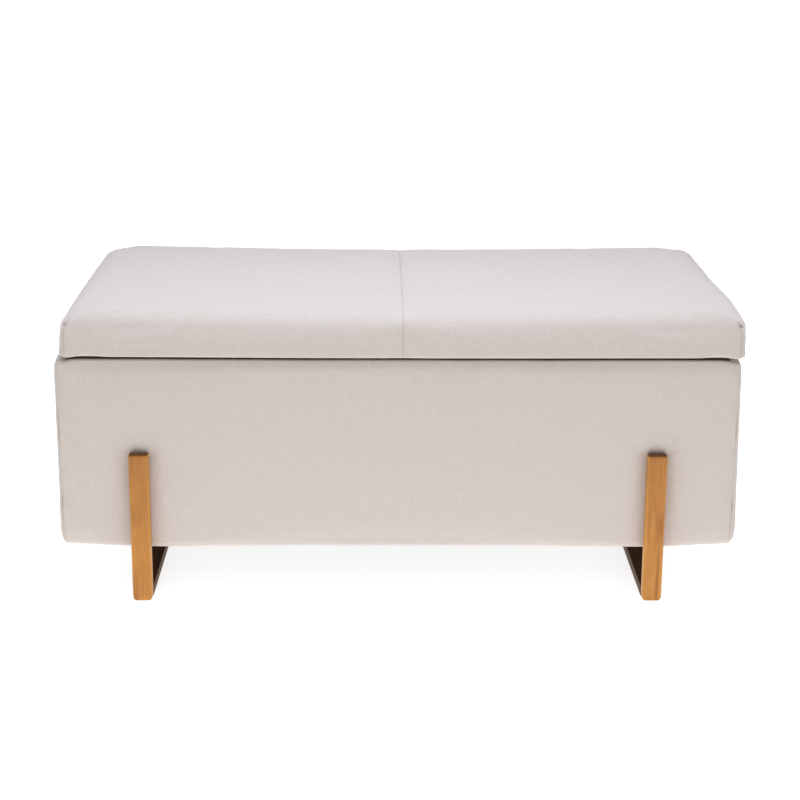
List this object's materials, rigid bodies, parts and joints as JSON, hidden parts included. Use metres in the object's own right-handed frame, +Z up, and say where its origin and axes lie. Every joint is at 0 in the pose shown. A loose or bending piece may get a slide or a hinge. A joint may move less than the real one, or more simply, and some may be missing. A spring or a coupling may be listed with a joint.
{
  "type": "storage bench ottoman",
  "caption": "Long upholstered storage ottoman with a padded hinged lid, folding lid stays and a wooden strap frame near each end.",
  "frame": {"origin": "on the floor, below the centre of the bench's bounding box", "axes": "+Z up, the front faces -Y, +X towards the right end for someone who faces the front"},
  "size_m": [1.108, 0.526, 0.49],
  "materials": {
    "linen": "matte",
    "foam": "matte",
    "lining_cloth": "matte",
    "plywood": "matte",
    "softwood": "matte",
    "strap_wood": "satin",
    "hinge_steel": "satin",
    "stay_steel": "satin",
    "fastener_steel": "satin",
    "insert_brass": "satin"
  },
  "bodies": {
    "box": {"front_panel": "plywood", "rear_panel": "plywood", "left_end_panel": "plywood", "right_end_panel": "plywood", "panel_screws": "fastener_steel", "base_board": "plywood", "front_cleat": "softwood", "rear_cleat": "softwood", "centre_bearer": "softwood", "front_foam": "foam", "rear_foam": "foam", "left_foam": "foam", "right_foam": "foam", "front_cover": "linen", "rear_cover": "linen", "left_cover": "linen", "right_cover": "linen", "storage_lining": "lining_cloth", "dust_cover": "lining_cloth", "dust_cover_staples": "fastener_steel", "front_strap_left": "strap_wood", "rear_strap_left": "strap_wood", "runner_left": "strap_wood", "front_strap_right": "strap_wood", "rear_strap_right": "strap_wood", "runner_right": "strap_wood", "leg_dowels": "softwood", "leg_bolts": "fastener_steel", "leg_washers": "fastener_steel", "leg_inserts": "insert_brass", "hinge_box_leaf_left": "hinge_steel", "hinge_box_leaf_centre": "hinge_steel", "hinge_box_leaf_right": "hinge_steel", "hinge_pins": "hinge_steel", "hinge_box_screws": "fastener_steel", "stay_side_bracket_left": "stay_steel", "stay_side_bracket_right": "stay_steel", "stay_side_rivets": "fastener_steel", "stay_side_screws": "fastener_steel"},
    "lid": {"lid_board": "plywood", "lid_foam": "foam", "lid_cover_left": "linen", "lid_cover_right": "linen", "lid_lining": "lining_cloth", "lid_staples": "fastener_steel", "hinge_lid_leaf_left": "hinge_steel", "hinge_lid_leaf_centre": "hinge_steel", "hinge_lid_leaf_right": "hinge_steel", "hinge_lid_screws": "fastener_steel", "stay_lid_bracket_left": "stay_steel", "stay_lid_bracket_right": "stay_steel", "stay_lid_rivets": "fastener_steel", "stay_lid_screws": "fastener_steel"},
    "lower_arm_left": {"stay_lower_arm_left": "stay_steel", "stay_middle_rivet_left": "fastener_steel"},
    "lower_arm_right": {"stay_lower_arm_right": "stay_steel", "stay_middle_rivet_right": "fastener_steel"},
    "upper_arm_left": {"stay_upper_arm_left": "stay_steel"},
    "upper_arm_right": {"stay_upper_arm_right": "stay_steel"}
  },
  "joints": [
    {"name": "lid_hinge", "type": "hinge", "parent": "box", "child": "lid", "pos_m": [0, 0.251, 0.4145], "axis": [-1, 0, 0], "range_deg": [0, 95]},
    {"name": "stay_lower_left", "type": "hinge", "parent": "box", "child": "lower_arm_left", "pos_m": [-0.522, 0.2, 0.255], "axis": [-1, 0, 0], "range_deg": [0, 95]},
    {"name": "stay_lower_right", "type": "hinge", "parent": "box", "child": "lower_arm_right", "pos_m": [0.522, 0.2, 0.255], "axis": [-1, 0, 0], "range_deg": [0, 95]},
    {"name": "stay_upper_left", "type": "hinge", "parent": "lid", "child": "upper_arm_left", "pos_m": [-0.522, 0.13, 0.4], "axis": [-1, 0, 0], "range_deg": [-95, 0]},
    {"name": "stay_upper_right", "type": "hinge", "parent": "lid", "child": "upper_arm_right", "pos_m": [0.522, 0.13, 0.4], "axis": [-1, 0, 0], "range_deg": [-95, 0]}
  ],
  "couplings": [
    {"joint": "stay_lower_left", "follows": "lid_hinge", "ratio": 1},
    {"joint": "stay_lower_right", "follows": "lid_hinge", "ratio": 1},
    {"joint": "stay_upper_left", "follows": "lid_hinge", "ratio": -1},
    {"joint": "stay_upper_right", "follows": "lid_hinge", "ratio": -1}
  ]
}
